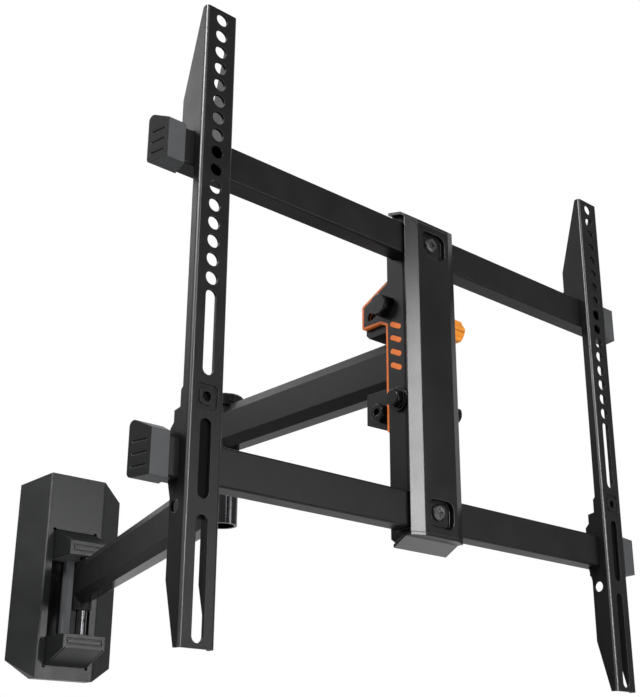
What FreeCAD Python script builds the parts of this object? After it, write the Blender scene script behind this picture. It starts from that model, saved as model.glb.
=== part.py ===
import FreeCAD
import Part
import math
import os

# Swivel wall mount for a flat screen: wall plate, two folding arms, tilting column,
# two crossbars and two slotted screen brackets. Millimetres, +Z up, the wall is the
# plane Y = 0, the screen is on the -Y side and the arms stand as in use, reaching out.

os.makedirs("parts", exist_ok=True)
V = FreeCAD.Vector
FULL_TURN = 360.0
HALF = 0.5
HEX_SIDES = 6
BEVEL_DEG = 45.0
HEX_CORNER = 2.0 / math.sqrt(3.0)

# Fits between pieces
RUN_FIT = 0.05
SLIDE_FIT = 0.15
FACE_GAP = 0.15
SNAP_FIT = 0.2
SLOT_FIT = 0.4
EDGE_GAP = 0.4
THROUGH = 5.0

# Wall plate and its cover
plate_w = 112.0
plate_h = 218.0
plate_t = 3.0
plate_corner = 14.0
lag_top_edge = 33.0
lag_low_edge = 18.0
lag_r = 4.5
aim_slot_dx = 32.0
aim_slot_r = 3.0
aim_slot_len = 50.0
aim_slot_z = -25.0
aim_slot_depth = 1.5
cover_front_w = 74.6
cover_front_h = 244.6
cover_wall_w = 139.6
cover_wall_h = 207.0
cover_depth = 16.0
cover_t = 2.0
cover_bend_r = 7.0
cover_rib_t = 2.4
cover_rib_z = 88.0
relief_r = 2.2

# Shoulder bracket on the wall plate
pivot_y = -44.0
rib_w = 11.0
rib_front_y = -10.0
ear_w = 51.0
ear_t = 5.0
ear_front_y = -54.0
ear_corner = 9.0
ear_cap_t = 2.0
ear_cap_back_y = -10.0
upper_ear_z = 17.7
lower_ear_z = -74.2
upper_cap_front_z = 34.5
upper_cap_wall_z = 53.0
lower_cap_front_z = -90.5
lower_cap_wall_z = -107.0
cap_groove_inset = 4.4
cap_groove_w = 1.5
cap_groove_depth = 1.0
cap_slope_inset = 2.2
cap_slope_groove_w = 1.0

# Shoulder bolt
pivot_bolt_r = 5.0
pivot_head_af = 17.0
pivot_head_h = 6.4
pivot_nut_h = 8.0
bolt_end_over = 1.0
spacer_r = 6.5
cross_hole_r = 1.7
cross_hole_z = -57.0

# Rear arm
rear_len = 480.0
rear_rest_deg = -17.0
rear_h = 46.6
rear_w = 22.0
rear_z = -12.8
rear_chamfer_w = 4.4
rear_chamfer_h = 8.8
tube_t = 2.0
shoulder_r = 12.0
shoulder_bore_r = 8.0
shoulder_drop = 7.0
bush_len = 14.0
bush_flange_r = 11.0
bush_flange_t = 1.5

# Elbow
elbow_r = 13.0
elbow_pin_r = 8.0
elbow_bore_r = 10.2
elbow_low_z = -39.5
elbow_split_z = 17.0
elbow_top_z = 65.0
elbow_open_r = 10.6
elbow_open_depth = 17.5
elbow_flange_r = 12.4
elbow_washer_t = 1.5
elbow_washer_r = 12.0
elbow_head_r = 7.0
elbow_head_h = 3.0
elbow_screw_r = 4.0
elbow_screw_len = 22.0
elbow_socket_af = 5.0
elbow_socket_depth = 1.8
elbow_cap_r = 15.6
elbow_cap_t = 2.0
elbow_cap_skirt = 1.4
elbow_cap_chamfer = 1.5
seam_w = 0.8
seam_depth = 0.7

# Front arm
front_len = 211.0
front_h = 38.4
front_w = 20.0
front_z = 43.8
front_chamfer_w = 4.0
front_chamfer_h = 8.0
front_nose = 11.0
head_barrel_r = 7.8
head_bore_r = 6.2
head_barrel_over = 1.0
head_flange_r = 9.0

# Swivel yoke
yoke_t = 2.5
yoke_flange_t = 3.0
yoke_front = 18.0
yoke_neck_back = 26.0
yoke_back = 53.9
yoke_heel = 3.0
yoke_top_z = 95.0
yoke_top_round = 8.0
yoke_low_back_z = -1.1
yoke_low_front_z = -10.2
yoke_low_front = 31.5
yoke_pivot_r = 7.5
swivel_bolt_r = 5.0
swivel_head_af = 17.0
swivel_head_h = 6.4
swivel_nut_h = 8.0
cross_bolt_back = 38.3
cross_bolt_z = 4.5
cross_bolt_r = 3.0
cross_nut_af = 12.4
cross_nut_len = 6.0
cross_nut_hole_r = 2.8
cross_nut_hole_depth = 3.0
cross_head_r = 5.5
cross_head_h = 3.5

# Tilt pivot and tilt lock, measured back from the screen plane
head_reach = 40.0
tilt_back = 17.5
tilt_z = 9.5
tilt_bolt_r = 4.0
tilt_head_af = 12.0
tilt_head_h = 6.0
tilt_flange_r = 8.8
tilt_flange_t = 2.0
tilt_nut_len = 16.0
lock_back = 32.2
lock_z = 85.0
lock_rod_r = 3.0
tilt_up_deg = 5.0
tilt_down_deg = 10.0
slot_over_deg = 0.6
left_knob_af = 15.5
left_knob_len = 7.0
right_knob_r = 7.8
right_knob_len = 16.0
right_knob_lobe_r = 1.8
right_hub_r = 6.5
right_hub_len = 20.8
knob_lobes = 6
knob_end_t = 2.0
head_chamfer = 1.5

# Column, measured back from the screen plane
column_front = 0.7
column_face_w = 32.4
column_bevel_w = 9.6
column_bevel_d = 4.4
column_cover_t = 2.0
channel_w = 43.0
channel_t = 2.0
channel_bend_r = 7.0
channel_back = 28.2
column_top_front_z = 147.0
column_top_mid = 9.0
column_top_mid_z = 153.0
column_top_back_z = 156.3
column_low_front_z = -89.4
column_low_mid = 10.0
column_low_back_z = -95.9
column_cap_t = 2.2
column_cap_back = 21.7
column_corner = 5.0
ear_top_z = 102.2
ear_back = 53.3
ear_tip_top_z = 90.3
ear_tip_low_z = 74.6
ear_root_z = 70.4
ear_root_back = 35.7
liner_t = 1.0
liner_rim = 1.9
liner_low_z = -10.6
liner_front = 14.0
tick_count = 4
tick_len = 12.0
tick_r = 2.0
tick_slope_deg = 27.0
tick_pitch = 10.5
tick_top_z = 66.8
tick_back = 20.4
pocket_w = 25.0
pocket_h = 20.0
pocket_drop = 1.6
pocket_r = 6.0
pocket_wall = 1.5
pocket_floor_t = 1.6
pocket_groove_w = 2.1
pocket_groove_depth = 0.9
screw_r = 2.5
screw_head_r = 5.8
screw_head_h = 2.2
screw_tip = 2.0
cross_w = 1.4
cross_len = 6.0
cross_depth = 1.3

# Crossbars
bar_front = 7.5
bar_h = 25.0
bar_d = 15.0
bar_t = 1.5
bar_corner = 1.5
bar_len = 464.0
upper_bar_z = 131.5
lower_bar_z = -71.1
end_cap_wall = 1.4
end_cap_grip = 11.7
end_cap_front_len = 12.9
end_cap_flare = 3.4
end_cap_back_grip = 4.4
end_cap_rise = 8.5
end_cap_corner = 3.5
end_cap_edge = 1.0
rib_groove_count = 3
rib_groove_pitch = 7.5
rib_groove_r = 0.8
rib_groove_margin = 3.0

# Screen brackets
bracket_inset = 32.0
bracket_w = 24.6
bracket_t = 2.0
bracket_bend_r = 2.2
bracket_top_z = 237.6
bracket_low_z = -178.2
hole_count = 16
hole_r = 4.5
hole_pitch = 12.5
hole_first = 7.2
slot_r = 4.0
slot_a_top = 35.1
slot_a_low = -20.0
square_z = -33.3
square_w = 15.2
square_r = 3.0
square_depth = 1.0
stud_square_w = 10.5
stud_hole_r = 3.0
slot_b_top = -46.8
slot_b_low = -94.6
slot_c_top = -104.0
slot_c_low = -175.4
flange_top_d = 4.7
flange_deep_d = 22.8
flange_deep_z = 173.7
flange_hook_z = 156.0
flange_hook_d = 27.0
flange_hook_drop = 18.0
flange_thin_low_z = -28.0
flange_stop_d = 9.2
flange_step_z = -40.2
flange_step_d = 15.0
flange_nose_z = -48.5
flange_nose_d = 18.2
flange_tail_z = -94.0
flange_tail_d = 15.4
flange_end_z = -140.5
flange_end_d = 5.5
flange_nose_r = 1.2
flange_hole_z = -99.0
flange_hole_back = 10.0
flange_hole_r = 4.0
latch_w = 16.0
latch_t = 2.6
latch_top_z = -24.5
latch_slope = 3.0
latch_low_z = -106.0
latch_foot_t = 4.0
latch_tongue_w = 5.0
latch_lip_t = 1.5
latch_lip_h = 8.0
latch_eye_r = 3.0
latch_eye_up = 6.0


def box(x0, x1, y0, y1, z0, z1):
    return Part.makeBox(x1 - x0, y1 - y0, z1 - z0, V(x0, y0, z0))


def rod(radius, start, end):
    way = end.sub(start)
    return Part.makeCylinder(radius, way.Length, start, way)


def tube(r_out, r_in, start, end):
    return rod(r_out, start, end).cut(rod(r_in, start, end))


def polygon(points):
    return Part.Face(Part.makePolygon(points + [points[0]]))


def hexagon(across, start, end):
    way = end.sub(start)
    turn = FreeCAD.Rotation(V(0, 0, 1), way)
    ring = []
    for k in range(HEX_SIDES):
        angle = math.radians(k * FULL_TURN / HEX_SIDES)
        spot = V(math.cos(angle), math.sin(angle), 0).multiply(across * HALF * HEX_CORNER)
        ring.append(start.add(turn.multVec(spot)))
    return polygon(ring).extrude(way)


def side_prism(points, x0, x1):
    # Outline in the Y-Z plane, pulled along X
    return polygon([V(x0, y, z) for y, z in points]).extrude(V(x1 - x0, 0, 0))


def plan_prism(points, z0, z1):
    # Outline in the X-Y plane, pulled along Z
    return polygon([V(x, y, z0) for x, y in points]).extrude(V(0, 0, z1 - z0))


def oblong(radius, start, end, way):
    # Slot cutter whose end centres are start and end, pulled along way
    along = end.sub(start).normalize()
    across = along.cross(way).normalize().multiply(radius)
    bar = polygon([start.add(across), end.add(across), end.sub(across), start.sub(across)]).extrude(way)
    return bar.fuse([rod(radius, start, start.add(way)), rod(radius, end, end.add(way))]).removeSplitter()


def rounded_block(x0, x1, y0, y1, z0, z1, radius):
    # Block with its four edges along Y rounded
    block = box(x0, x1, y0, y1, z0, z1)
    edges = [e for e in block.Edges if abs(e.Vertexes[0].Y - e.Vertexes[1].Y) > (y1 - y0) * HALF]
    return block.makeFillet(radius, edges)


def octagon_tube(width, height, cut_w, cut_h, wall, start, reach):
    # Flat sided arm tube with four bevelled corners, lying along -Y from start
    def section(w, h):
        inset_w = w * HALF - cut_w
        inset_h = h * HALF - cut_h
        ring = [(w * HALF, inset_h), (inset_w, h * HALF), (-inset_w, h * HALF), (-w * HALF, inset_h),
                (-w * HALF, -inset_h), (-inset_w, -h * HALF), (inset_w, -h * HALF), (w * HALF, -inset_h)]
        return polygon([V(start.x + x, start.y, start.z + z) for x, z in ring])
    way = V(0, -reach, 0)
    outer = section(width, height).extrude(way)
    return outer.cut(section(width - 2 * wall, height - 2 * wall).extrude(way))


def flanged_bush(r_out, r_in, r_flange, t_flange, face, inward):
    # Bush whose flange lies outside face and whose sleeve runs along inward
    sleeve = rod(r_out, face, face.add(inward))
    out = V(inward).normalize().multiply(-t_flange)
    flange = rod(r_flange, face, face.add(out))
    return sleeve.fuse(flange).cut(rod(r_in, face.add(out), face.add(inward))).removeSplitter()


def turned_end(radius, start, end):
    # Rod along X whose rim at end is chamfered
    turned = rod(radius, start, end)
    rim = [e for e in turned.Edges if abs(e.BoundBox.XMin - end.x) + abs(e.BoundBox.XMax - end.x) < RUN_FIT]
    return turned.makeChamfer(head_chamfer, rim)


def hex_head(across, start, end):
    # Hexagon along X, turned to a round face at end
    return hexagon(across, start, end).common(turned_end(across * HALF * HEX_CORNER, start, end))


def lobed_knob(radius, lobe_r, start, end):
    # Knob along X with rounded lobes round its rim
    body = rod(radius, start, end)
    lobes = []
    for k in range(knob_lobes):
        angle = math.radians(k * FULL_TURN / knob_lobes)
        out = V(0, math.cos(angle), math.sin(angle)).multiply(radius)
        lobes.append(rod(lobe_r, start.add(out), end.add(out)))
    return body.fuse(lobes).removeSplitter().common(turned_end(radius + lobe_r, start, end))


def save(name, *shapes):
    shape = shapes[0] if len(shapes) == 1 else Part.makeCompound(list(shapes))
    shape.exportStep("parts/" + name + ".step")


# Places of the three upright axes
swing = math.radians(rear_rest_deg)
elbow_x = rear_len * math.sin(swing)
elbow_y = pivot_y - rear_len * math.cos(swing)
head_x = elbow_x
head_y = elbow_y - front_len
screen_y = head_y - head_reach
rear_top_z = rear_z + rear_h * HALF
rear_low_z = rear_z - rear_h * HALF
barrel_low_z = rear_low_z - shoulder_drop
front_top_z = front_z + front_h * HALF
front_low_z = front_z - front_h * HALF


def back(depth):
    return screen_y + depth


# Wall plate with two lag holes on the stud line and two pressed slots
plate = box(-plate_w * HALF, plate_w * HALF, -plate_t, 0, -plate_h * HALF, plate_h * HALF)
corners = [e for e in plate.Edges if abs(e.Vertexes[0].Y - e.Vertexes[1].Y) > plate_t * HALF]
plate = plate.makeChamfer(plate_corner, corners)
for lag_z in (plate_h * HALF - lag_top_edge, lag_low_edge - plate_h * HALF):
    plate = plate.cut(rod(lag_r, V(0, -plate_t, lag_z), V(0, 0, lag_z)))
aim_half = aim_slot_len * HALF - aim_slot_r
for aim_x in (-aim_slot_dx * HALF, aim_slot_dx * HALF):
    low = V(aim_x, -plate_t, aim_slot_z - aim_half)
    high = V(aim_x, -plate_t, aim_slot_z + aim_half)
    plate = plate.cut(oblong(aim_slot_r, low, high, V(0, aim_slot_depth, 0)))
save("wall_plate", plate)


# Faceted wall cover: an upright front, two slanted flanks and cut corners
def cover_block(inset):
    slant = math.hypot(cover_depth, (cover_wall_w - cover_front_w) * HALF)
    narrower = inset * (slant - (cover_wall_w - cover_front_w) * HALF) / cover_depth
    fx = cover_front_w * HALF - narrower
    wx = cover_wall_w * HALF - inset * slant / cover_depth
    fz = cover_front_h * HALF - inset
    wz = cover_wall_h * HALF - inset
    fy = inset - cover_depth
    front = [V(-fx, fy, -fz), V(fx, fy, -fz), V(fx, fy, fz), V(-fx, fy, fz)]
    rim = [V(-fx, 0, -fz), V(fx, 0, -fz), V(wx, 0, -wz), V(wx, 0, wz),
           V(fx, 0, fz), V(-fx, 0, fz), V(-wx, 0, wz), V(-wx, 0, -wz)]
    faces = [polygon(front), polygon(rim)]
    faces.append(polygon([front[0], front[1], rim[1], rim[0]]))
    faces.append(polygon([front[2], front[3], rim[5], rim[4]]))
    faces.append(polygon([front[1], front[2], rim[3], rim[2]]))
    faces.append(polygon([front[3], front[0], rim[7], rim[6]]))
    faces.append(polygon([front[1], rim[1], rim[2]]))
    faces.append(polygon([front[2], rim[3], rim[4]]))
    faces.append(polygon([front[3], rim[5], rim[6]]))
    faces.append(polygon([front[0], rim[7], rim[0]]))
    solid = Part.Solid(Part.Shell(faces))
    if solid.Volume < 0:
        solid.reverse()
    return solid


cover = cover_block(0.0)
front_rim = [e for e in cover.Edges if e.BoundBox.YMax < cover_t - cover_depth]
cover = cover.makeFillet(cover_bend_r, [e for e in front_rim if e.BoundBox.XLength < cover_t])
cover = cover.cut(cover_block(cover_t))
rib_reach = cover_depth - cover_t * HALF
for sign in (-1, 1):
    rib_z = sign * cover_rib_z
    rib = box(-cover_front_w * HALF, cover_front_w * HALF, -rib_reach, -plate_t,
              rib_z - cover_rib_t * HALF, rib_z + cover_rib_t * HALF)
    cover = cover.fuse(rib)
open_x = ear_w * HALF + SNAP_FIT + ear_cap_t + EDGE_GAP
open_top = upper_cap_wall_z + EDGE_GAP
open_low = lower_cap_wall_z - EDGE_GAP
cover = cover.removeSplitter().cut(box(-open_x, open_x, -cover_depth, -plate_t, open_low, open_top))
for spot_x in (-open_x, open_x):
    for spot_z in (open_low, open_top):
        relief = V(spot_x, -cover_depth, spot_z)
        cover = cover.cut(rod(relief_r, relief, relief.add(V(0, cover_t, 0))))
save("wall_cover", cover)

# Shoulder bracket: an upright rib with two ears, welded to the plate
bolt_top_z = upper_ear_z + ear_t
bolt_low_z = lower_ear_z - ear_t
rib = box(-rib_w * HALF, rib_w * HALF, rib_front_y, -plate_t, bolt_low_z, bolt_top_z)
ears = []
for ear_z in (upper_ear_z, bolt_low_z):
    ear = box(-ear_w * HALF, ear_w * HALF, ear_front_y, -plate_t, ear_z, ear_z + ear_t)
    front = [e for e in ear.Edges if e.BoundBox.YMax < ear_front_y + ear_t]
    ears.append(ear.makeFillet(ear_corner, [e for e in front if e.BoundBox.ZLength > ear_t * HALF]))
bracket = rib.fuse(ears).removeSplitter()
bracket = bracket.cut(rod(pivot_bolt_r, V(0, pivot_y, bolt_low_z), V(0, pivot_y, bolt_top_z)))
save("shoulder_bracket", bracket)


# Wedge caps that cover the ears, with a framed front and a groove along each side of the slope
def ear_cap(foot_z, front_z, wall_z):
    up = 1 if wall_z > foot_z else -1
    front_y = ear_front_y - ear_cap_t
    half_w = ear_w * HALF + SNAP_FIT + ear_cap_t
    line = [(ear_cap_back_y, foot_z), (ear_cap_back_y, wall_z), (-cover_depth, wall_z),
            (front_y, front_z), (front_y, foot_z)]
    shell = side_prism(line, -half_w, half_w)
    roof = ear_cap_t * up
    hollow = [(ear_cap_back_y, foot_z - roof), (ear_cap_back_y, wall_z - roof), (-cover_depth, wall_z - roof),
              (ear_front_y - SNAP_FIT * HALF, front_z - roof), (ear_front_y - SNAP_FIT * HALF, foot_z - roof)]
    shell = shell.cut(side_prism(hollow, ear_cap_t - half_w, half_w - ear_cap_t))
    low = min(foot_z, front_z)
    high = max(foot_z, front_z)
    ring = []
    for inset in (cap_groove_inset, cap_groove_inset + cap_groove_w):
        ring.append(box(inset - half_w, half_w - inset, front_y, front_y + cap_groove_depth,
                        low + inset, high - inset))
    shell = shell.cut(ring[0].cut(ring[1]))
    sink = cap_groove_depth * up
    slope = [(-cover_depth, wall_z), (front_y, front_z), (front_y, front_z - sink),
             (-cover_depth, wall_z - sink)]
    for x0 in (cap_slope_inset - half_w, half_w - cap_slope_inset - cap_slope_groove_w):
        shell = shell.cut(side_prism(slope, x0, x0 + cap_slope_groove_w))
    return shell


save("upper_ear_cap", ear_cap(upper_ear_z, upper_cap_front_z, upper_cap_wall_z))
save("lower_ear_cap", ear_cap(lower_ear_z, lower_cap_front_z, lower_cap_wall_z))

# Shoulder bolt, nut and the spacers that show above and below the arm
bolt_end_z = bolt_low_z - pivot_nut_h - bolt_end_over
head = hexagon(pivot_head_af, V(0, pivot_y, bolt_top_z), V(0, pivot_y, bolt_top_z + pivot_head_h))
bolt = rod(pivot_bolt_r, V(0, pivot_y, bolt_end_z), V(0, pivot_y, bolt_top_z)).fuse(head)
save("shoulder_bolt", bolt.removeSplitter())
nut = hexagon(pivot_head_af, V(0, pivot_y, bolt_low_z - pivot_nut_h), V(0, pivot_y, bolt_low_z))
save("shoulder_nut", nut.cut(rod(pivot_bolt_r, V(0, pivot_y, bolt_end_z), V(0, pivot_y, bolt_low_z))))
spacer_top = rear_top_z + bush_flange_t + FACE_GAP
spacer_low = barrel_low_z - bush_flange_t - FACE_GAP
upper_spacer = tube(spacer_r, pivot_bolt_r, V(0, pivot_y, spacer_top), V(0, pivot_y, upper_ear_z))
lower_spacer = tube(spacer_r, pivot_bolt_r, V(0, pivot_y, lower_ear_z), V(0, pivot_y, spacer_low))
cross_hole = rod(cross_hole_r, V(0, pivot_y - spacer_r, cross_hole_z), V(0, pivot_y, cross_hole_z))
save("shoulder_spacers", upper_spacer, lower_spacer.cut(cross_hole))


# Rear arm, made straight out from the wall and then swung to its rest angle
def swung(shape):
    turned = shape.copy()
    turned.rotate(V(0, pivot_y, 0), V(0, 0, 1), rear_rest_deg)
    return turned


def at_shoulder(z):
    return V(0, pivot_y, z)


def at_elbow(z):
    return V(elbow_x, elbow_y, z)


def at_head(z):
    return V(head_x, head_y, z)


barrel = tube(shoulder_r, shoulder_bore_r, at_shoulder(barrel_low_z), at_shoulder(rear_top_z))
save("shoulder_barrel", barrel)
lower_bush = flanged_bush(shoulder_bore_r, pivot_bolt_r + RUN_FIT, bush_flange_r, bush_flange_t,
                          at_shoulder(barrel_low_z), V(0, 0, bush_len))
upper_bush = flanged_bush(shoulder_bore_r, pivot_bolt_r + RUN_FIT, bush_flange_r, bush_flange_t,
                          at_shoulder(rear_top_z), V(0, 0, -bush_len))
save("shoulder_bushes", lower_bush, upper_bush)
rear = octagon_tube(rear_w, rear_h, rear_chamfer_w, rear_chamfer_h, tube_t, V(0, pivot_y, rear_z), rear_len)
rear = swung(rear)
rear = rear.cut(rod(shoulder_r, at_shoulder(rear_low_z - THROUGH), at_shoulder(rear_top_z + THROUGH)))
rear = rear.cut(rod(elbow_r, at_elbow(rear_low_z - THROUGH), at_elbow(rear_top_z + THROUGH)))
save("rear_arm_tube", max(rear.Solids, key=lambda s: s.Volume))

# Elbow: the rear barrel holds the pin, the front barrel turns on two bushes
open_z = elbow_low_z + elbow_open_depth
rear_barrel = tube(elbow_r, elbow_pin_r, at_elbow(elbow_low_z), at_elbow(elbow_split_z))
rear_barrel = rear_barrel.cut(rod(elbow_open_r, at_elbow(elbow_low_z), at_elbow(open_z)))
save("rear_elbow_barrel", rear_barrel)
front_barrel_low = elbow_split_z + bush_flange_t + FACE_GAP
pin_top_z = elbow_top_z + bush_flange_t + FACE_GAP
screw_head_z = pin_top_z + elbow_washer_t
screw_hole = rod(elbow_screw_r, at_elbow(pin_top_z - elbow_screw_len), at_elbow(pin_top_z))
save("elbow_pin", rod(elbow_pin_r, at_elbow(open_z), at_elbow(pin_top_z)).cut(screw_hole))
save("elbow_washer", tube(elbow_washer_r, elbow_screw_r, at_elbow(pin_top_z), at_elbow(screw_head_z)))
screw = rod(elbow_screw_r, at_elbow(pin_top_z - elbow_screw_len), at_elbow(screw_head_z))
socket_z = screw_head_z + elbow_head_h
screw = screw.fuse(rod(elbow_head_r, at_elbow(screw_head_z), at_elbow(socket_z))).removeSplitter()
screw = screw.cut(hexagon(elbow_socket_af, at_elbow(socket_z - elbow_socket_depth), at_elbow(socket_z)))
save("elbow_screw", screw)
save("front_elbow_barrel", tube(elbow_r, elbow_bore_r, at_elbow(front_barrel_low), at_elbow(elbow_top_z)))
low_bush = flanged_bush(elbow_bore_r, elbow_pin_r + RUN_FIT, elbow_flange_r, bush_flange_t,
                        at_elbow(front_barrel_low), V(0, 0, bush_len))
top_bush = flanged_bush(elbow_bore_r, elbow_pin_r + RUN_FIT, elbow_flange_r, bush_flange_t,
                        at_elbow(elbow_top_z), V(0, 0, -bush_len))
save("elbow_bushes", low_bush, top_bush)
cap_inside_z = socket_z + EDGE_GAP
cap_low_z = elbow_top_z - elbow_cap_skirt
cap = rod(elbow_cap_r, at_elbow(cap_low_z), at_elbow(cap_inside_z + elbow_cap_t))
cap_top = [e for e in cap.Edges if e.BoundBox.ZMin > cap_inside_z]
cap = cap.makeChamfer(elbow_cap_chamfer, cap_top)
cap = cap.cut(rod(elbow_r, at_elbow(cap_low_z), at_elbow(cap_inside_z)))
for sign in (-1, 1):
    seam_x = elbow_x + sign * elbow_r * HALF
    seam = box(seam_x - seam_w * HALF, seam_x + seam_w * HALF, elbow_y - elbow_cap_r, elbow_y + elbow_cap_r,
               cap_inside_z + elbow_cap_t - seam_depth, cap_inside_z + elbow_cap_t)
    cap = cap.cut(seam)
save("elbow_cap", cap)

# Front arm tube from the elbow barrel to a short nose past the head barrel
front = octagon_tube(front_w, front_h, front_chamfer_w, front_chamfer_h, tube_t, at_elbow(front_z),
                     front_len + front_nose)
front = front.cut(rod(elbow_r, at_elbow(front_low_z - THROUGH), at_elbow(front_top_z + THROUGH)))
front = front.cut(rod(head_barrel_r, at_head(front_low_z - THROUGH), at_head(front_top_z + THROUGH)))
save("front_arm_tube", max(front.Solids, key=lambda s: s.Volume))
head_low_z = front_low_z - head_barrel_over
head_top_z = front_top_z + head_barrel_over
save("head_barrel", tube(head_barrel_r, head_bore_r, at_head(head_low_z), at_head(head_top_z)))
low_bush = flanged_bush(head_bore_r, swivel_bolt_r + RUN_FIT, head_flange_r, bush_flange_t,
                        at_head(head_low_z), V(0, 0, bush_len))
top_bush = flanged_bush(head_bore_r, swivel_bolt_r + RUN_FIT, head_flange_r, bush_flange_t,
                        at_head(head_top_z), V(0, 0, -bush_len))
save("swivel_bushes", low_bush, top_bush)

# Swivel yoke: two C shaped cheeks joined by an upper and a lower shelf
cheek_out = channel_w * HALF - channel_t - liner_t - FACE_GAP
cheek_in = cheek_out - yoke_t
shelf_top_z = head_top_z + bush_flange_t + FACE_GAP
shelf_low_z = head_low_z - bush_flange_t - FACE_GAP
top_z = shelf_top_z + yoke_flange_t
low_z = shelf_low_z - yoke_flange_t
tilt_y = back(tilt_back)
lock_y = back(lock_back)


def cheek(x0, x1):
    line = [(back(yoke_front), yoke_top_z), (back(yoke_back), yoke_top_z),
            (back(yoke_back), shelf_top_z + yoke_heel), (back(yoke_back - yoke_heel), shelf_top_z),
            (back(yoke_neck_back), shelf_top_z), (back(yoke_neck_back), shelf_low_z),
            (back(yoke_back), shelf_low_z), (back(yoke_back), yoke_low_back_z),
            (back(yoke_low_front), yoke_low_front_z), (tilt_y, yoke_low_front_z)]
    plate = side_prism(line, x0, x1)
    top = [e for e in plate.Edges if e.BoundBox.ZMin > yoke_top_z - RUN_FIT and e.BoundBox.YLength < RUN_FIT]
    plate = plate.makeFillet(yoke_top_round, top)
    return plate.fuse(rod(yoke_pivot_r, V(x0, tilt_y, tilt_z), V(x1, tilt_y, tilt_z))).removeSplitter()


shelves = []
for z0, z1, depth in ((shelf_top_z, top_z, yoke_back - yoke_heel), (low_z, shelf_low_z, yoke_back)):
    shelves.append(box(head_x - cheek_in, head_x + cheek_in, back(yoke_front), back(depth), z0, z1))
yoke = cheek(head_x - cheek_out, head_x - cheek_in)
yoke = yoke.fuse([cheek(head_x + cheek_in, head_x + cheek_out)] + shelves).removeSplitter()
yoke = yoke.cut(rod(swivel_bolt_r, at_head(low_z), at_head(top_z)))
for axle_r, axle_y, axle_z in ((tilt_bolt_r, tilt_y, tilt_z), (lock_rod_r, lock_y, lock_z),
                               (cross_bolt_r, back(cross_bolt_back), cross_bolt_z)):
    axle = rod(axle_r, V(head_x - cheek_out, axle_y, axle_z), V(head_x + cheek_out, axle_y, axle_z))
    yoke = yoke.cut(axle)
save("swivel_yoke", yoke)
end_z = low_z - swivel_nut_h - bolt_end_over
bolt = rod(swivel_bolt_r, at_head(end_z), at_head(top_z))
bolt = bolt.fuse(hexagon(swivel_head_af, at_head(top_z), at_head(top_z + swivel_head_h)))
save("swivel_bolt", bolt.removeSplitter())
nut = hexagon(swivel_head_af, at_head(low_z - swivel_nut_h), at_head(low_z))
save("swivel_nut", nut.cut(rod(swivel_bolt_r, at_head(end_z), at_head(low_z))))


# Cross bolt of the yoke with its long socket nut
def at_cross(offset):
    return V(head_x + offset, back(cross_bolt_back), cross_bolt_z)


nut_face = -cheek_out - cross_nut_len
nut_floor = nut_face + cross_nut_hole_depth
nut = hex_head(cross_nut_af, at_cross(-cheek_out), at_cross(nut_face))
nut = nut.cut(rod(cross_bolt_r, at_cross(-cheek_out), at_cross(nut_floor)))
save("yoke_socket_nut", nut.cut(rod(cross_nut_hole_r, at_cross(nut_floor), at_cross(nut_face))))
bolt = rod(cross_bolt_r, at_cross(nut_floor), at_cross(cheek_out))
head = rod(cross_head_r, at_cross(cheek_out), at_cross(cheek_out + cross_head_h))
save("yoke_cross_bolt", bolt.fuse(head).removeSplitter())


# Tilt pivot: a flanged hex bolt right through the column and the yoke
def at_tilt(offset):
    return V(head_x + offset, tilt_y, tilt_z)


seat = channel_w * HALF + FACE_GAP
flange_face = seat + tilt_flange_t
bolt_end = seat + tilt_nut_len * HALF
bolt = rod(tilt_bolt_r, at_tilt(-seat), at_tilt(bolt_end))
bolt = bolt.fuse(rod(tilt_flange_r, at_tilt(-seat), at_tilt(-flange_face)))
head = hex_head(tilt_head_af, at_tilt(-flange_face), at_tilt(-flange_face - tilt_head_h))
save("tilt_pivot_bolt", bolt.fuse(head).removeSplitter())
nut = hex_head(tilt_head_af, at_tilt(seat), at_tilt(seat + tilt_nut_len))
save("tilt_pivot_nut", nut.cut(rod(tilt_bolt_r, at_tilt(seat), at_tilt(bolt_end))))


# Tilt lock: a rod through the ear slots, with a hexagon cap on the left and a lobed knob on the right
def at_lock(offset):
    return V(head_x + offset, lock_y, lock_z)


left_face = -seat - left_knob_len
right_seat = seat + right_hub_len
right_face = right_seat + right_knob_len
left_floor = left_face + knob_end_t
right_floor = right_face - knob_end_t
bore = rod(lock_rod_r + RUN_FIT, at_lock(left_floor), at_lock(right_floor))
save("tilt_lock_rod", rod(lock_rod_r, at_lock(left_floor + EDGE_GAP), at_lock(right_floor - EDGE_GAP)))
save("left_lock_knob", hex_head(left_knob_af, at_lock(-seat), at_lock(left_face)).cut(bore))
knob = lobed_knob(right_knob_r, right_knob_lobe_r, at_lock(right_seat), at_lock(right_face))
hub = rod(right_hub_r, at_lock(seat), at_lock(right_seat))
save("right_lock_knob", knob.fuse(hub).removeSplitter().cut(bore))

# Column outline seen from the side, shared by the channel, the cover and the caps
web_front = bar_front - channel_t
bar_back = bar_front + bar_d


def roof_line(drop):
    line = [(column_front, column_top_front_z), (column_top_mid, column_top_mid_z),
            (column_cap_back, column_top_back_z)]
    return [(back(y), z - drop) for y, z in line]


def floor_line(lift):
    line = [(column_front, column_low_front_z), (column_low_mid, column_low_front_z),
            (column_cap_back, column_low_back_z)]
    return [(back(y), z + lift) for y, z in line]


def ear_line():
    line = [(channel_back, ear_top_z), (ear_back, ear_tip_top_z), (ear_back, ear_tip_low_z),
            (ear_root_back, ear_tip_low_z), (channel_back, ear_root_z)]
    return [(back(y), z) for y, z in line]


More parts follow.
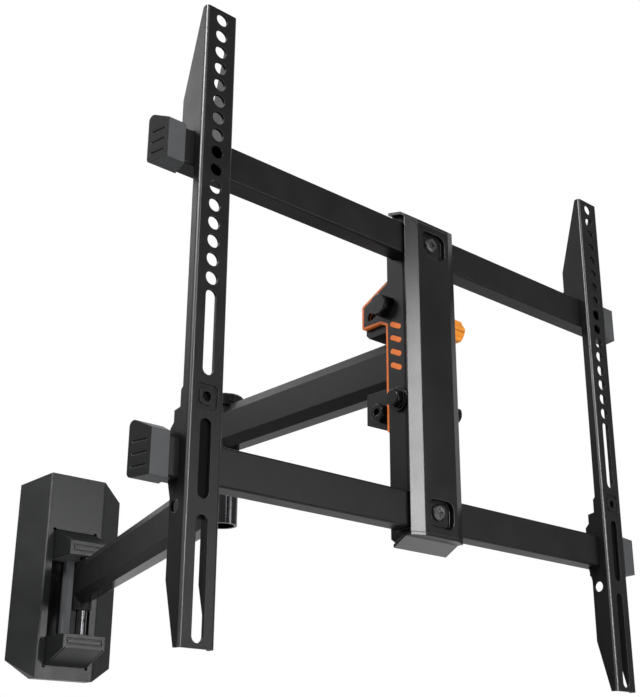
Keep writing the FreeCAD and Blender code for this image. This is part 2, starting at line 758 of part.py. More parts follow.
def lock_slot(half_w, x0, x1):
    # Curved slot about the tilt axis for the lock rod
    reach = math.hypot(lock_back - tilt_back, lock_z - tilt_z)
    rest = math.degrees(math.atan2(lock_back - tilt_back, lock_z - tilt_z))
    first = rest - tilt_up_deg - slot_over_deg
    last = rest + tilt_down_deg + slot_over_deg

    def spot(degrees, radius):
        angle = math.radians(degrees)
        return V(x0, tilt_y + radius * math.sin(angle), tilt_z + radius * math.cos(angle))

    def arc(a, b, c):
        return Part.Arc(a, b, c).toShape()
    mid = (first + last) * HALF
    tip = math.degrees(half_w / reach)
    edges = [arc(spot(first, reach + half_w), spot(mid, reach + half_w), spot(last, reach + half_w)),
             arc(spot(last, reach + half_w), spot(last + tip, reach), spot(last, reach - half_w)),
             arc(spot(last, reach - half_w), spot(mid, reach - half_w), spot(first, reach - half_w)),
             arc(spot(first, reach - half_w), spot(first - tip, reach), spot(first, reach + half_w))]
    return Part.Face(Part.Wire(edges)).extrude(V(x1 - x0, 0, 0))


# Folded steel channel of the column with its two tilt ears
outer = channel_w * HALF
inner = outer - channel_t
inner_r = channel_bend_r - channel_t
bend_y = back(web_front + channel_bend_r)
bend_x = outer - channel_bend_r
fold = math.sin(math.radians(BEVEL_DEG))
web_y = back(web_front)
web_back_y = back(bar_front)
end_y = back(ear_back + THROUGH)


def at_plan(x, y):
    return V(head_x + x, y, column_low_back_z)


def bend(sign, radius, mid_first):
    side = at_plan(sign * (bend_x + radius), bend_y)
    middle = at_plan(sign * (bend_x + radius * fold), bend_y - radius * fold)
    front = at_plan(sign * bend_x, bend_y - radius)
    return Part.Arc(side, middle, front).toShape() if mid_first else Part.Arc(front, middle, side).toShape()


def line(a, b):
    return Part.makeLine(a, b)


loop = [line(at_plan(-outer, end_y), at_plan(-outer, bend_y)), bend(-1, channel_bend_r, True),
        line(at_plan(-bend_x, web_y), at_plan(bend_x, web_y)), bend(1, channel_bend_r, False),
        line(at_plan(outer, bend_y), at_plan(outer, end_y)),
        line(at_plan(outer, end_y), at_plan(inner, end_y)),
        line(at_plan(inner, end_y), at_plan(inner, bend_y)), bend(1, inner_r, True),
        line(at_plan(bend_x, web_back_y), at_plan(-bend_x, web_back_y)), bend(-1, inner_r, False),
        line(at_plan(-inner, bend_y), at_plan(-inner, end_y)),
        line(at_plan(-inner, end_y), at_plan(-outer, end_y))]
channel = Part.Face(Part.Wire(loop)).extrude(V(0, 0, column_top_back_z - column_low_back_z))
top_corner = (back(channel_back), column_top_back_z - column_cap_t - column_corner)
low_corner = (back(channel_back), column_low_back_z + column_cap_t + column_corner)
side_line = roof_line(column_cap_t) + [top_corner] + ear_line() + [low_corner]
side_line += list(reversed(floor_line(column_cap_t)))
channel = channel.common(side_prism(side_line, head_x - outer, head_x + outer))
channel = channel.cut(lock_slot(lock_rod_r + SLOT_FIT, head_x - outer, head_x + outer))
channel = channel.cut(rod(tilt_bolt_r + RUN_FIT, at_tilt(-outer), at_tilt(outer)))


def ticks(radius, reach):
    # Row of slanted marks from the left wall inwards
    turn = math.radians(tick_slope_deg)
    half = V(0, math.cos(turn), math.sin(turn)).multiply(tick_len * HALF - tick_r)
    middles = [V(head_x - outer, back(tick_back), tick_top_z - k * tick_pitch) for k in range(tick_count)]
    return [oblong(radius, spot.sub(half), spot.add(half), V(reach, 0, 0)) for spot in middles]


channel = channel.cut(ticks(tick_r, channel_w))

# Cover over the channel: flat face and two bevels, with a sunk pad round each clamp screw
face_x = column_face_w * HALF
bevel_x = face_x + column_bevel_w
bevel_y = back(column_front + column_bevel_d)
front_y = back(column_front)
turn = math.atan2(column_bevel_d, column_bevel_w)
lip_x = bevel_x - column_cover_t * math.sin(turn)
lip_y = bevel_y + column_cover_t * math.cos(turn)
inner_x = face_x - column_cover_t * math.tan(turn * HALF)
half_section = [(bevel_x, bevel_y), (lip_x, lip_y), (inner_x, front_y + column_cover_t)]
section = [(head_x - face_x, front_y), (head_x + face_x, front_y)]
section += [(head_x + x, y) for x, y in half_section]
section += [(head_x - x, y) for x, y in reversed(half_section)]
shell = plan_prism(section, column_low_back_z, column_top_back_z)
floor_y = back(web_front - pocket_floor_t)
for bar_z in (upper_bar_z, lower_bar_z):
    pocket_x = pocket_w * HALF + pocket_wall
    pocket_z = pocket_h * HALF + pocket_wall
    mid_z = bar_z - pocket_drop
    shell = shell.fuse(rounded_block(head_x - pocket_x, head_x + pocket_x, front_y, web_y, mid_z - pocket_z,
                                     mid_z + pocket_z, pocket_r + pocket_wall))
shell = shell.removeSplitter()
outline = roof_line(column_cap_t) + list(reversed(floor_line(column_cap_t)))
shell = shell.common(side_prism(outline, head_x - bevel_x, head_x + bevel_x))
for bar_z in (upper_bar_z, lower_bar_z):
    mid_z = bar_z - pocket_drop
    shell = shell.cut(rounded_block(head_x - pocket_w * HALF, head_x + pocket_w * HALF, front_y, floor_y,
                                    mid_z - pocket_h * HALF, mid_z + pocket_h * HALF, pocket_r))
    ring = []
    for inset in (0.0, pocket_groove_w):
        pad_x = pocket_w * HALF - inset
        pad_z = pocket_h * HALF - inset
        ring.append(rounded_block(head_x - pad_x, head_x + pad_x, floor_y, floor_y + pocket_groove_depth,
                                  mid_z - pad_z, mid_z + pad_z, pocket_r - inset))
    shell = shell.cut(ring[0].cut(ring[1]))
    gate = box(head_x - bevel_x, head_x + bevel_x, web_back_y, back(bar_back) + EDGE_GAP,
               bar_z - bar_h * HALF - SNAP_FIT, bar_z + bar_h * HALF + SNAP_FIT)
    channel = channel.cut(gate)
    for rise in (-1, 1):
        dot_z = bar_z + rise * (bar_h * HALF + SNAP_FIT)
        for sign in (-1, 1):
            channel = channel.cut(rod(relief_r * HALF, V(head_x + sign * bend_x, web_back_y, dot_z),
                                      V(head_x + sign * outer, web_back_y, dot_z)))
    bore = rod(screw_r, V(head_x, front_y, bar_z), V(head_x, web_back_y, bar_z))
    channel = channel.cut(bore)
    shell = shell.cut(bore)
save("column_channel", channel)
save("column_cover", shell)

# Sloped caps that close the column at the top and the bottom
plan = [(head_x - face_x, front_y), (head_x + face_x, front_y), (head_x + bevel_x, bevel_y),
        (head_x + bevel_x, back(column_cap_back)), (head_x - bevel_x, back(column_cap_back)),
        (head_x - bevel_x, bevel_y)]
core = plan_prism(plan, column_low_back_z, column_top_back_z)
roof = roof_line(0.0) + list(reversed(roof_line(column_cap_t)))
save("column_top_cap", core.common(side_prism(roof, head_x - bevel_x, head_x + bevel_x)))
base = floor_line(0.0) + list(reversed(floor_line(column_cap_t)))
save("column_bottom_cap", core.common(side_prism(base, head_x - bevel_x, head_x + bevel_x)))


# Coloured friction liner inside the left ear: a sheet, a rim round the ear's edge, pads in the windows
wall_x = head_x - outer
sheet_x = head_x - inner
edge = [(back(liner_front), liner_low_z), (back(channel_back), liner_low_z)]
edge += list(reversed(ear_line())) + [(back(liner_front), ear_top_z)]
rim = polygon([V(wall_x, y, z) for y, z in edge]).makeOffset2D(liner_rim)
rim = rim.extrude(V(channel_t + liner_t, 0, 0)).cut(side_prism(side_line, wall_x, sheet_x + liner_t))
liner = side_prism(edge, sheet_x, sheet_x + liner_t)
liner = liner.fuse([rim] + ticks(tick_r - SNAP_FIT * HALF, channel_t)).removeSplitter()
liner = liner.cut(lock_slot(lock_rod_r + SLOT_FIT, wall_x, sheet_x + liner_t))
liner = liner.cut(rod(tilt_bolt_r + RUN_FIT, at_tilt(-outer), at_tilt(liner_t - inner)))
save("left_tilt_liner", liner)
save("right_tilt_liner", liner.mirror(V(head_x, 0, 0), V(1, 0, 0)))


# Crossbars: rectangular tubes clamped through the column
def crossbar(bar_z):
    half = bar_len * HALF
    bar = box(head_x - half, head_x + half, web_back_y, back(bar_back),
              bar_z - bar_h * HALF, bar_z + bar_h * HALF)
    bar = bar.makeFillet(bar_corner, [e for e in bar.Edges if e.BoundBox.XLength > half])
    bar = bar.cut(box(head_x - half, head_x + half, web_back_y + bar_t, back(bar_back) - bar_t,
                      bar_z - bar_h * HALF + bar_t, bar_z + bar_h * HALF - bar_t))
    return bar.cut(rod(screw_r, V(head_x, web_back_y, bar_z), V(head_x, web_back_y + bar_t, bar_z)))


save("upper_crossbar", crossbar(upper_bar_z))
save("lower_crossbar", crossbar(lower_bar_z))


# Clamp screws with a cross recess
def clamp_screw(bar_z):
    head_y = floor_y - screw_head_h
    screw = rod(screw_head_r, V(head_x, head_y, bar_z), V(head_x, floor_y, bar_z))
    rim = [e for e in screw.Edges if e.BoundBox.YMax < head_y + RUN_FIT]
    tip_y = web_back_y + bar_t + screw_tip
    screw = screw.makeChamfer(screw_head_h * HALF, rim)
    screw = screw.fuse(rod(screw_r, V(head_x, floor_y, bar_z), V(head_x, tip_y, bar_z)))
    for wide, tall in ((cross_len, cross_w), (cross_w, cross_len)):
        screw = screw.cut(box(head_x - wide * HALF, head_x + wide * HALF, head_y, head_y + cross_depth,
                              bar_z - tall * HALF, bar_z + tall * HALF))
    return screw.removeSplitter()


save("clamp_screws", clamp_screw(upper_bar_z), clamp_screw(lower_bar_z))


# End caps: a socket over the tube, a rising top and a slanted, grooved end
def end_cap(bar_z):
    x0 = head_x + bar_len * HALF - end_cap_grip
    x1 = x0 + end_cap_front_len
    y0 = web_back_y - end_cap_wall
    y1 = back(bar_back) + end_cap_wall
    low = bar_z - bar_h * HALF - end_cap_wall
    high = bar_z + bar_h * HALF + end_cap_wall
    open_x = x0 - end_cap_back_grip
    cap = plan_prism([(x0, y0), (x1, y0), (x1 + end_cap_flare, y1), (open_x, y1)], low, high + end_cap_rise)
    slant = [(y0, low), (y0, high), (y1, high + end_cap_rise), (y1, low)]
    cap = cap.common(side_prism(slant, open_x, x1 + end_cap_flare))
    rear = [e for e in cap.Edges if e.BoundBox.YMin > y1 - RUN_FIT and e.BoundBox.ZLength < RUN_FIT]
    cap = cap.makeFillet(end_cap_corner, rear)
    nose = [e for e in cap.Edges if e.BoundBox.YMax < y0 + RUN_FIT and e.BoundBox.XMin > x1 - RUN_FIT]
    cap = cap.makeFillet(end_cap_edge, nose)
    cap = cap.cut(box(open_x, x0 + end_cap_grip, web_back_y, back(bar_back),
                      bar_z - bar_h * HALF, bar_z + bar_h * HALF))
    slope = V(end_cap_flare, y1 - y0, 0).normalize()
    for k in range(rib_groove_count):
        groove_z = bar_z + (k - (rib_groove_count - 1) * HALF) * rib_groove_pitch
        start = V(x1, y0, groove_z).add(V(slope).multiply(rib_groove_margin))
        stop = V(x1 + end_cap_flare, y1, groove_z).sub(V(slope).multiply(rib_groove_margin))
        cap = cap.cut(rod(rib_groove_r, start, stop))
    return cap


for level, bar_z in (("upper", upper_bar_z), ("lower", lower_bar_z)):
    cap = end_cap(bar_z)
    save(level + "_right_end_cap", cap)
    save(level + "_left_end_cap", cap.mirror(V(head_x, 0, 0), V(1, 0, 0)))


# Screen brackets: a slotted web with two shaped flanges that hook over the crossbars
def flange_line():
    rest = bar_front - SLIDE_FIT
    roof = upper_bar_z + bar_h * HALF + SLIDE_FIT
    top = lower_bar_z + bar_h * HALF + SLIDE_FIT
    low = lower_bar_z - bar_h * HALF - SLIDE_FIT
    behind = bar_back + EDGE_GAP
    hook_low = roof - flange_hook_drop
    return [(0, bracket_top_z), (flange_top_d, bracket_top_z), (flange_deep_d, flange_deep_z),
            (flange_deep_d, flange_hook_z), (flange_hook_d, flange_hook_z - (flange_hook_d - flange_deep_d)),
            (flange_hook_d, hook_low), (behind, hook_low), (behind, roof), (rest, roof),
            (rest, flange_thin_low_z), (flange_stop_d, flange_thin_low_z - (flange_stop_d - rest)),
            (flange_stop_d, flange_step_z), (flange_step_d, flange_step_z - bracket_t * HALF),
            (flange_step_d, flange_nose_z), (flange_nose_d, flange_nose_z - (flange_nose_d - flange_step_d)),
            (flange_nose_d, top), (rest, top), (rest, low), (flange_nose_d, low),
            (flange_tail_d, flange_tail_z), (flange_tail_d, flange_end_z),
            (flange_end_d, bracket_low_z), (0, bracket_low_z)]


def screen_bracket(cx):
    half = bracket_w * HALF
    body = side_prism([(back(y), z) for y, z in flange_line()], cx - half, cx + half)
    front = [e for e in body.Edges if e.BoundBox.YMax < back(RUN_FIT) and e.BoundBox.XLength < RUN_FIT]
    body = body.makeFillet(bracket_bend_r, front)
    roof = [e for e in body.Edges if e.BoundBox.ZMin > bracket_top_z - RUN_FIT]
    body = body.makeFillet(flange_nose_r, [e for e in roof if e.BoundBox.YMin > back(bracket_bend_r)])
    body = body.cut(box(cx - half + bracket_t, cx + half - bracket_t, back(bracket_t), back(flange_hook_d),
                        bracket_low_z, bracket_top_z))
    through = V(0, bracket_t, 0)
    holes = []
    for k in range(hole_count):
        spot = V(cx, screen_y, bracket_top_z - hole_first - k * hole_pitch)
        holes.append(rod(hole_r, spot, spot.add(through)))
    for top, low in ((slot_a_top, slot_a_low), (slot_b_top, slot_b_low), (slot_c_top, slot_c_low)):
        holes.append(oblong(slot_r, V(cx, screen_y, low + slot_r), V(cx, screen_y, top - slot_r), through))
    holes.append(rod(stud_hole_r, V(cx, screen_y, square_z), V(cx, back(bracket_t), square_z)))
    ring = []
    for wide in (square_w, stud_square_w):
        ring.append(rounded_block(cx - wide * HALF, cx + wide * HALF, screen_y, back(square_depth),
                                  square_z - wide * HALF, square_z + wide * HALF, square_r))
    holes.append(ring[0].cut(ring[1]))
    spot = V(cx - half, back(flange_hole_back), flange_hole_z)
    holes.append(rod(flange_hole_r, spot, spot.add(V(bracket_w, 0, 0))))
    return body.cut(holes)


# Spring latch behind each web: its foot and lip close round the lower crossbar
def latch(cx):
    half = latch_w * HALF
    y0 = back(bracket_t) + SNAP_FIT
    foot_z = lower_bar_z - bar_h * HALF - EDGE_GAP
    lip_y = back(bar_back) + EDGE_GAP
    strip = polygon([V(cx - half, y0, latch_low_z), V(cx + half, y0, latch_low_z),
                     V(cx + half, y0, latch_top_z), V(cx - half, y0, latch_top_z - latch_slope)])
    strip = strip.extrude(V(0, latch_t, 0))
    tongue = latch_tongue_w * HALF
    foot = box(cx - tongue, cx + tongue, y0, lip_y + latch_lip_t, foot_z - latch_foot_t, foot_z)
    hook = box(cx - tongue, cx + tongue, lip_y, lip_y + latch_lip_t, foot_z, foot_z + latch_lip_h)
    eye = V(cx, y0, latch_low_z + latch_eye_up)
    return strip.fuse([foot, hook]).removeSplitter().cut(rod(latch_eye_r, eye, eye.add(V(0, latch_t, 0))))


for side, sign in (("left", -1), ("right", 1)):
    centre = head_x + sign * (bar_len * HALF - bracket_inset)
    save(side + "_screen_bracket", screen_bracket(centre))
    save(side + "_latch", latch(centre))
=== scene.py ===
import math

import bpy
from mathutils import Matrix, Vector


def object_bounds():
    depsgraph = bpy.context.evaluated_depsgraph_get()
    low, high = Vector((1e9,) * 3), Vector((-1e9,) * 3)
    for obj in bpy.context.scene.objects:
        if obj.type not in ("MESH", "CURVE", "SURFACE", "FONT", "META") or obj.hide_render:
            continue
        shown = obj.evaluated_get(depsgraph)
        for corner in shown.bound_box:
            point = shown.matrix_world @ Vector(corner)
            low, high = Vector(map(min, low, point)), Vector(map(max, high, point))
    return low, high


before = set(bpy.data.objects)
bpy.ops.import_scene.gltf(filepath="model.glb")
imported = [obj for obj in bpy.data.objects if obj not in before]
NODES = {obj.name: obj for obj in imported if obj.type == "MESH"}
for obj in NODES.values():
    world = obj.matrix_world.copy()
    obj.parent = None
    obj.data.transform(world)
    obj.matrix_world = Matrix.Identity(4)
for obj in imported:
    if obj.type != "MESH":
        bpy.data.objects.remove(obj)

# Looks of a swivel wall mount for a flat screen. Metres, the wall is the plane Y = 0,
# the screen side faces -Y and +Z is up.

CAD_LOW, CAD_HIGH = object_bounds()

# Camera that took the photograph, fitted in pixels and degrees
FRAME_W, FRAME_H = 640, 697
FOCAL_PX = 1184.65
CENTRE_PX = (338.77, 360.54)
SENSOR_MM = 36.0
CLIP_START = 0.01
CAMERA_AT = (-0.7268, -1.2932, -0.2566)
CAMERA_YAW = 42.32
CAMERA_PITCH = 20.446
LEVEL_PITCH = 90.0

# Room: its even level, and how far from the camera's axis the white behind the mount reaches and fades
ROOM_LEVEL = 0.32
WHITE_TO = math.radians(25.0)
GREY_FROM = math.radians(42.0)
WHITE = (1.0, 1.0, 1.0, 1.0)

# Floor: half its side, its depth below the mount, its look and its share of plain white when looked at
FLOOR_HALF = 6.0
FLOOR_DROP = 0.9
FLOOR_DARK = (0.58, 0.58, 0.58)
FLOOR_LIGHT = (0.62, 0.62, 0.62)
FLOOR_CLOUD_SCALE = 3.0
FLOOR_DETAIL = 2.0
FLOOR_ROUGH = 0.9
FLOOR_WHITE = 0.45

# Lamps: place, width and height, watts. All of them face the column.
COLUMN = Vector((-0.14, -0.74, 0.03))
LAMPS = {
    "key_lamp": ((-2.1, -1.25, 1.55), (0.8, 0.8), 58.0),
    "front_lamp": ((-0.24, -2.95, 0.46), (0.3, 1.0), 37.0),
    "right_lamp": ((2.06, -4.47, 0.45), (1.0, 1.0), 46.0),
    "back_lamp": ((-1.45, 1.10, 1.34), (1.0, 1.0), 15.0),
    "top_lamp": ((-0.51, 1.03, 1.48), (0.6, 0.6), 4.0),
    "low_lamp": ((0.476, -0.67, -0.677), (0.42, 0.42), 1.0),
}

# Noise in all finishes: its detail, the part of its range that is used and the strength of the grain
CLOUD_DETAIL = 4.0
GRAIN_DETAIL = 2.0
NOISE_SPAN = (0.3, 0.7)
GRAIN_STRENGTH = 0.5

# Rounded edges: the dot product of rounded and flat normal, from full edge to flat face
EDGE_SAMPLES = 6
EDGE_SPAN = (0.90, 0.995)
EDGE_GLOSS = 0.35
SHINY_EDGE_GLOSS = 0.9

# Upright folds: the product of the normal's X and Y, from flat face to full fold
FOLD_SPAN = (0.15, 0.35)
FOLD_GLOSS = 0.9

# Undersides: the normal's Z, from a face that looks down to the rest
UNDER_SPAN = (-0.95, -0.75)

# Directions in which the noise is stretched
EVEN = (1.0, 1.0, 1.0)
DRAWN_ALONG_Z = (1.0, 1.0, 0.15)


# Shader nodes
def feed(tree, socket, value):
    # A plain number goes on the socket itself, and an output is linked to it
    if isinstance(value, float):
        socket.default_value = value
    else:
        tree.links.new(value, socket)


def calculate(tree, operation, *values):
    node = tree.nodes.new("ShaderNodeMath")
    node.operation = operation
    for socket, value in zip(node.inputs, values):
        feed(tree, socket, value)
    return node.outputs["Value"]


def spread(tree, value, low, high, span=NOISE_SPAN):
    # Takes the span of the value to the range from low to high
    node = tree.nodes.new("ShaderNodeMapRange")
    feed(tree, node.inputs["Value"], value)
    node.inputs["From Min"].default_value, node.inputs["From Max"].default_value = span
    feed(tree, node.inputs["To Min"], low)
    feed(tree, node.inputs["To Max"], high)
    return node.outputs["Result"]


def ramp(tree, value, dark, light):
    node = tree.nodes.new("ShaderNodeValToRGB")
    for stop, position, colour in zip(node.color_ramp.elements, NOISE_SPAN, (dark, light)):
        stop.position = position
        stop.color = (*colour, 1.0)
    tree.links.new(value, node.inputs["Fac"])
    return node.outputs["Color"]


def noise(tree, vector, scale, detail):
    node = tree.nodes.new("ShaderNodeTexNoise")
    node.inputs["Scale"].default_value = scale
    node.inputs["Detail"].default_value = detail
    tree.links.new(vector, node.inputs["Vector"])
    return node.outputs["Fac"]


def place_coordinates(tree, stretch=EVEN):
    # The object's own coordinates, stretched for drawn metal
    where = tree.nodes.new("ShaderNodeTexCoord")
    mapping = tree.nodes.new("ShaderNodeMapping")
    mapping.inputs["Scale"].default_value = stretch
    tree.links.new(where.outputs["Object"], mapping.inputs["Vector"])
    return mapping.outputs["Vector"]


def own_normal(tree):
    # The normal's X, Y and Z in the object's own directions
    where = tree.nodes.new("ShaderNodeTexCoord")
    parts = tree.nodes.new("ShaderNodeSeparateXYZ")
    tree.links.new(where.outputs["Normal"], parts.inputs["Vector"])
    return parts.outputs


def new_material(name):
    material = bpy.data.materials.new(name)
    material.use_nodes = True
    tree = material.node_tree
    return material, tree, tree.nodes["Principled BSDF"]


# Parts of a finish
def rounded_edges(tree, edge_r):
    soft = tree.nodes.new("ShaderNodeBevel")
    soft.samples = EDGE_SAMPLES
    soft.inputs["Radius"].default_value = edge_r
    return soft.outputs["Normal"]


def grain(tree, shader, normal, height, depth):
    # Surface grain on top of softly rounded edges
    bump = tree.nodes.new("ShaderNodeBump")
    bump.inputs["Distance"].default_value = depth
    bump.inputs["Strength"].default_value = GRAIN_STRENGTH
    tree.links.new(height, bump.inputs["Height"])
    tree.links.new(normal, bump.inputs["Normal"])
    tree.links.new(bump.outputs["Normal"], shader.inputs["Normal"])


def polished_edges(tree, normal, gloss, edge_gloss):
    # Edges shine more than flat faces: there the rounded normal leaves the face's own
    face = tree.nodes.new("ShaderNodeNewGeometry")
    along = tree.nodes.new("ShaderNodeVectorMath")
    along.operation = "DOT_PRODUCT"
    tree.links.new(normal, along.inputs[0])
    tree.links.new(face.outputs["True Normal"], along.inputs[1])
    return spread(tree, along.outputs["Value"], edge_gloss, gloss, EDGE_SPAN)


def polished_folds(tree, gloss):
    # Upright folds in the sheet, where the normal lies between X and Y
    parts = own_normal(tree)
    fold = calculate(tree, "ABSOLUTE", calculate(tree, "MULTIPLY", parts["X"], parts["Y"]))
    return calculate(tree, "MAXIMUM", spread(tree, fold, 0.0, FOLD_GLOSS, FOLD_SPAN), gloss)


def smooth_underside(tree, rough, under):
    # Faces that look down are smoother, so that they mirror the pale floor
    return spread(tree, own_normal(tree)["Z"], under, rough, UNDER_SPAN)


def paint_end_shade(tree, colour, end_shade):
    # Painted shade: the end panels, which face along X, get a darker colour that stands in for the
    # shade on them
    either_end = calculate(tree, "ABSOLUTE", own_normal(tree)["X"])
    mix = tree.nodes.new("ShaderNodeMix")
    mix.data_type = "RGBA"
    tree.links.new(spread(tree, either_end, 0.0, 1.0), mix.inputs["Factor"])
    tree.links.new(colour, mix.inputs["A"])
    mix.inputs["B"].default_value = (*end_shade, 1.0)
    return mix.outputs["Result"]


def finish(name, dark, light, rough, gloss, cloud_scale, grain_scale, depth, edge_r, metal=0.0,
           stretch=EVEN, end_shade=None, folded=False, edge_gloss=EDGE_GLOSS, under=None):
    # Linear colours and roughness vary with a cloudy noise. Depth and edge radius are in metres.
    material, tree, shader = new_material(name)
    vector = place_coordinates(tree, stretch)
    cloud = noise(tree, vector, cloud_scale, CLOUD_DETAIL)
    fine = noise(tree, vector, grain_scale, GRAIN_DETAIL)
    colour = ramp(tree, cloud, dark, light)
    # Painted shade on the faces that look along X
    if end_shade:
        colour = paint_end_shade(tree, colour, end_shade)
    tree.links.new(colour, shader.inputs["Base Color"])
    roughness = spread(tree, cloud, *rough)
    if under:
        roughness = smooth_underside(tree, roughness, under)
    tree.links.new(roughness, shader.inputs["Roughness"])
    normal = rounded_edges(tree, edge_r)
    shine = polished_edges(tree, normal, gloss, max(gloss, edge_gloss))
    if folded:
        shine = polished_folds(tree, shine)
    tree.links.new(shine, shader.inputs["Specular IOR Level"])
    shader.inputs["Metallic"].default_value = metal
    grain(tree, shader, normal, fine, depth)
    return material


def wear(material, *names):
    for name in names:
        NODES[name].data.materials.clear()
        NODES[name].data.materials.append(material)


# Black coating of the steel: plain, on folded sheet and on the tubes of the arms
COATING = dict(
    dark=(0.0050, 0.0050, 0.0051), light=(0.0075, 0.0075, 0.0077), rough=(0.34, 0.40), gloss=0.14,
    cloud_scale=40.0, grain_scale=1600.0, depth=0.00006, edge_r=0.0006)
wear(finish("coated_steel", **COATING),
     "wall_plate", "shoulder_barrel", "front_elbow_barrel", "head_barrel", "swivel_yoke",
     "column_channel", "upper_crossbar", "lower_crossbar")
wear(finish("coated_sheet", **COATING, folded=True), "left_screen_bracket", "right_screen_bracket")
wear(finish("coated_tube", **COATING, under=0.12), "rear_arm_tube", "front_arm_tube")

# Plastics and the column's cover
wear(finish("satin_cover", dark=(0.0035, 0.0035, 0.0036), light=(0.0060, 0.0060, 0.0062),
            rough=(0.21, 0.25), gloss=0.28, cloud_scale=30.0, grain_scale=1300.0,
            depth=0.00004, edge_r=0.0006, edge_gloss=SHINY_EDGE_GLOSS),
     "column_cover", "column_top_cap", "column_bottom_cap", "elbow_cap")
wear(finish("charcoal_plastic", dark=(0.0085, 0.0090, 0.0095), light=(0.0115, 0.0121, 0.0128),
            rough=(0.31, 0.36), gloss=0.38, cloud_scale=60.0, grain_scale=2200.0,
            depth=0.00008, edge_r=0.0008),
     "wall_cover", "upper_ear_cap", "lower_ear_cap")
# End caps: the fronts keep the plastic's own grey, and the ends get a darker painted shade
wear(finish("end_cap_plastic", dark=(0.053, 0.055, 0.057), light=(0.064, 0.066, 0.069),
            rough=(0.44, 0.50), gloss=0.10, cloud_scale=60.0, grain_scale=2200.0,
            depth=0.00008, edge_r=0.0008, end_shade=(0.011, 0.0113, 0.0117)),
     "upper_left_end_cap", "upper_right_end_cap", "lower_left_end_cap", "lower_right_end_cap")
wear(finish("grey_bracket", dark=(0.095, 0.098, 0.102), light=(0.115, 0.118, 0.123),
            rough=(0.45, 0.52), gloss=0.16, cloud_scale=60.0, grain_scale=2200.0,
            depth=0.00006, edge_r=0.0008),
     "shoulder_bracket")
wear(finish("orange_plastic", dark=(0.62, 0.128, 0.020), light=(0.72, 0.182, 0.030),
            rough=(0.42, 0.50), gloss=0.20, cloud_scale=90.0, grain_scale=2600.0,
            depth=0.00005, edge_r=0.0004),
     "left_tilt_liner", "right_tilt_liner")
wear(finish("amber_plastic", dark=(0.64, 0.225, 0.024), light=(0.75, 0.275, 0.034),
            rough=(0.44, 0.52), gloss=0.10, cloud_scale=90.0, grain_scale=2600.0,
            depth=0.00005, edge_r=0.0005),
     "right_lock_knob")

# Bare, plated and blackened metal, and the bushes
wear(finish("zinc_steel", dark=(0.20, 0.20, 0.21), light=(0.34, 0.34, 0.35),
            rough=(0.22, 0.32), gloss=0.50, cloud_scale=240.0, grain_scale=2400.0,
            depth=0.00004, edge_r=0.0005, metal=1.0, stretch=DRAWN_ALONG_Z),
     "elbow_pin", "elbow_washer", "elbow_screw", "swivel_bolt", "swivel_nut", "tilt_lock_rod")
wear(finish("plated_screw", dark=(0.085, 0.085, 0.088), light=(0.140, 0.140, 0.145),
            rough=(0.20, 0.28), gloss=0.50, cloud_scale=240.0, grain_scale=2400.0,
            depth=0.00004, edge_r=0.0005, metal=1.0),
     "clamp_screws")
wear(finish("blued_steel", dark=(0.040, 0.040, 0.042), light=(0.065, 0.065, 0.068),
            rough=(0.16, 0.22), gloss=0.50, cloud_scale=160.0, grain_scale=2400.0,
            depth=0.00002, edge_r=0.0005, metal=1.0, stretch=DRAWN_ALONG_Z),
     "rear_elbow_barrel", "shoulder_spacers", "shoulder_bolt", "shoulder_nut")
# Latches: their own black steel, made darker still as painted shade for the slots in which they show
wear(finish("black_steel_and_slot_shade", dark=(0.0012, 0.0012, 0.0013), light=(0.0020, 0.0020, 0.0021),
            rough=(0.55, 0.65), gloss=0.05, cloud_scale=90.0, grain_scale=2000.0,
            depth=0.00004, edge_r=0.0004),
     "left_latch", "right_latch")
wear(finish("black_oxide", dark=(0.0035, 0.0035, 0.0037), light=(0.0065, 0.0065, 0.0068),
            rough=(0.20, 0.28), gloss=0.10, cloud_scale=200.0, grain_scale=2400.0,
            depth=0.00004, edge_r=0.0006, edge_gloss=SHINY_EDGE_GLOSS),
     "left_lock_knob", "yoke_socket_nut", "yoke_cross_bolt", "tilt_pivot_bolt", "tilt_pivot_nut")
wear(finish("bearing_plastic", dark=(0.012, 0.012, 0.0125), light=(0.020, 0.020, 0.021),
            rough=(0.50, 0.58), gloss=0.15, cloud_scale=120.0, grain_scale=2400.0,
            depth=0.00005, edge_r=0.0005),
     "shoulder_bushes", "elbow_bushes", "swivel_bushes")


# Stage: a pale floor well below the mount, a grey room with white behind the mount, and soft lamps
def looked_at(tree, share):
    # The share for rays from the camera or off a shiny face, and nothing for rays that light the object
    path = tree.nodes.new("ShaderNodeLightPath").outputs
    mirrored = calculate(tree, "MAXIMUM", path["Is Glossy Ray"], path["Is Transmission Ray"])
    seen = calculate(tree, "MAXIMUM", path["Is Camera Ray"], mirrored)
    return calculate(tree, "MULTIPLY", seen, share)


def make_floor():
    half, level = FLOOR_HALF, CAD_LOW.z - FLOOR_DROP
    corners = [(-half, -half, level), (half, -half, level), (half, half, level), (-half, half, level)]
    mesh = bpy.data.meshes.new("floor")
    mesh.from_pydata(corners, [], [(0, 1, 2, 3)])
    floor = bpy.data.objects.new("floor", mesh)
    bpy.context.scene.collection.objects.link(floor)
    material, tree, shader = new_material("pale_floor")
    cloud = noise(tree, place_coordinates(tree), FLOOR_CLOUD_SCALE, FLOOR_DETAIL)
    tree.links.new(ramp(tree, cloud, FLOOR_DARK, FLOOR_LIGHT), shader.inputs["Base Color"])
    shader.inputs["Roughness"].default_value = FLOOR_ROUGH
    white = tree.nodes.new("ShaderNodeEmission")
    white.inputs["Color"].default_value = WHITE
    white.inputs["Strength"].default_value = 1.0
    mix = tree.nodes.new("ShaderNodeMixShader")
    tree.links.new(looked_at(tree, FLOOR_WHITE), mix.inputs[0])
    tree.links.new(shader.outputs[0], mix.inputs[1])
    tree.links.new(white.outputs[0], mix.inputs[2])
    tree.links.new(mix.outputs[0], tree.nodes["Material Output"].inputs["Surface"])
    mesh.materials.append(material)


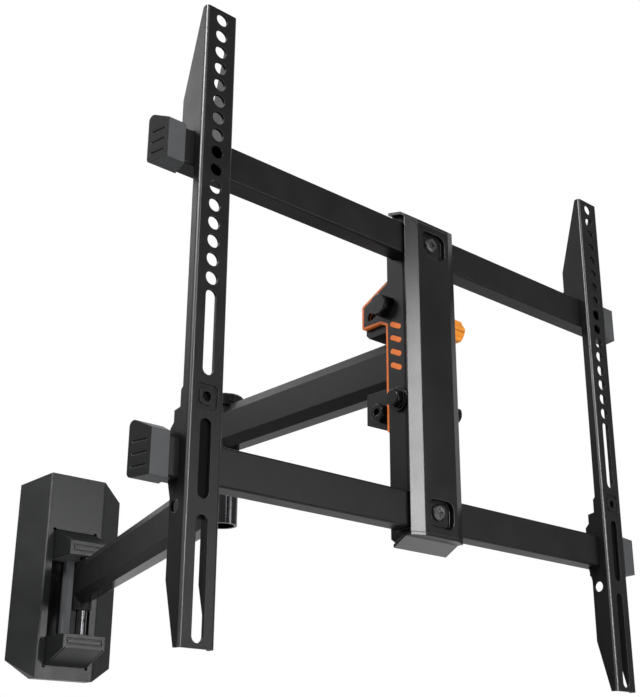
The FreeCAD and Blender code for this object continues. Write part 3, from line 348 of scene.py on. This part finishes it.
def make_world():
    # An even grey room, white behind the mount where the camera or a shiny face looks into it
    world = bpy.data.worlds.new("studio")
    bpy.context.scene.world = world
    world.use_nodes = True
    tree = world.node_tree
    turn, rise = math.radians(CAMERA_YAW), math.radians(CAMERA_PITCH)
    axis = (math.sin(turn) * math.cos(rise), math.cos(turn) * math.cos(rise), math.sin(rise))
    where = tree.nodes.new("ShaderNodeTexCoord")
    ahead = tree.nodes.new("ShaderNodeVectorMath")
    ahead.operation = "DOT_PRODUCT"
    ahead.inputs[1].default_value = axis
    tree.links.new(where.outputs["Generated"], ahead.inputs[0])
    fade = (math.cos(GREY_FROM), math.cos(WHITE_TO))
    backdrop = spread(tree, ahead.outputs["Value"], ROOM_LEVEL, 1.0, fade)
    level = tree.nodes.new("ShaderNodeMix")
    level.inputs["A"].default_value = ROOM_LEVEL
    tree.links.new(looked_at(tree, 1.0), level.inputs["Factor"])
    tree.links.new(backdrop, level.inputs["B"])
    room = tree.nodes["Background"]
    room.inputs["Color"].default_value = WHITE
    tree.links.new(level.outputs["Result"], room.inputs["Strength"])


def make_lamps():
    for name, (place, size, watts) in LAMPS.items():
        lamp = bpy.data.lights.new(name, "AREA")
        lamp.shape = "RECTANGLE"
        lamp.size, lamp.size_y = size
        lamp.energy = watts
        holder = bpy.data.objects.new(name, lamp)
        holder.location = place
        holder.rotation_euler = (COLUMN - Vector(place)).to_track_quat("-Z", "Y").to_euler()
        bpy.context.scene.collection.objects.link(holder)


def make_camera():
    camera = bpy.data.cameras.new("camera")
    camera.sensor_fit = "HORIZONTAL"
    camera.sensor_width = SENSOR_MM
    camera.lens = FOCAL_PX * SENSOR_MM / FRAME_W
    camera.shift_x = (FRAME_W / 2 - CENTRE_PX[0]) / FRAME_W
    camera.shift_y = (CENTRE_PX[1] - FRAME_H / 2) / FRAME_W
    camera.clip_start = CLIP_START
    holder = bpy.data.objects.new("camera", camera)
    holder.location = CAMERA_AT
    holder.rotation_euler = (math.radians(LEVEL_PITCH + CAMERA_PITCH), 0.0, math.radians(-CAMERA_YAW))
    bpy.context.scene.collection.objects.link(holder)
    bpy.context.scene.camera = holder


make_floor()
make_world()
make_camera()
make_lamps()
bpy.context.scene.view_settings.view_transform = "Standard"
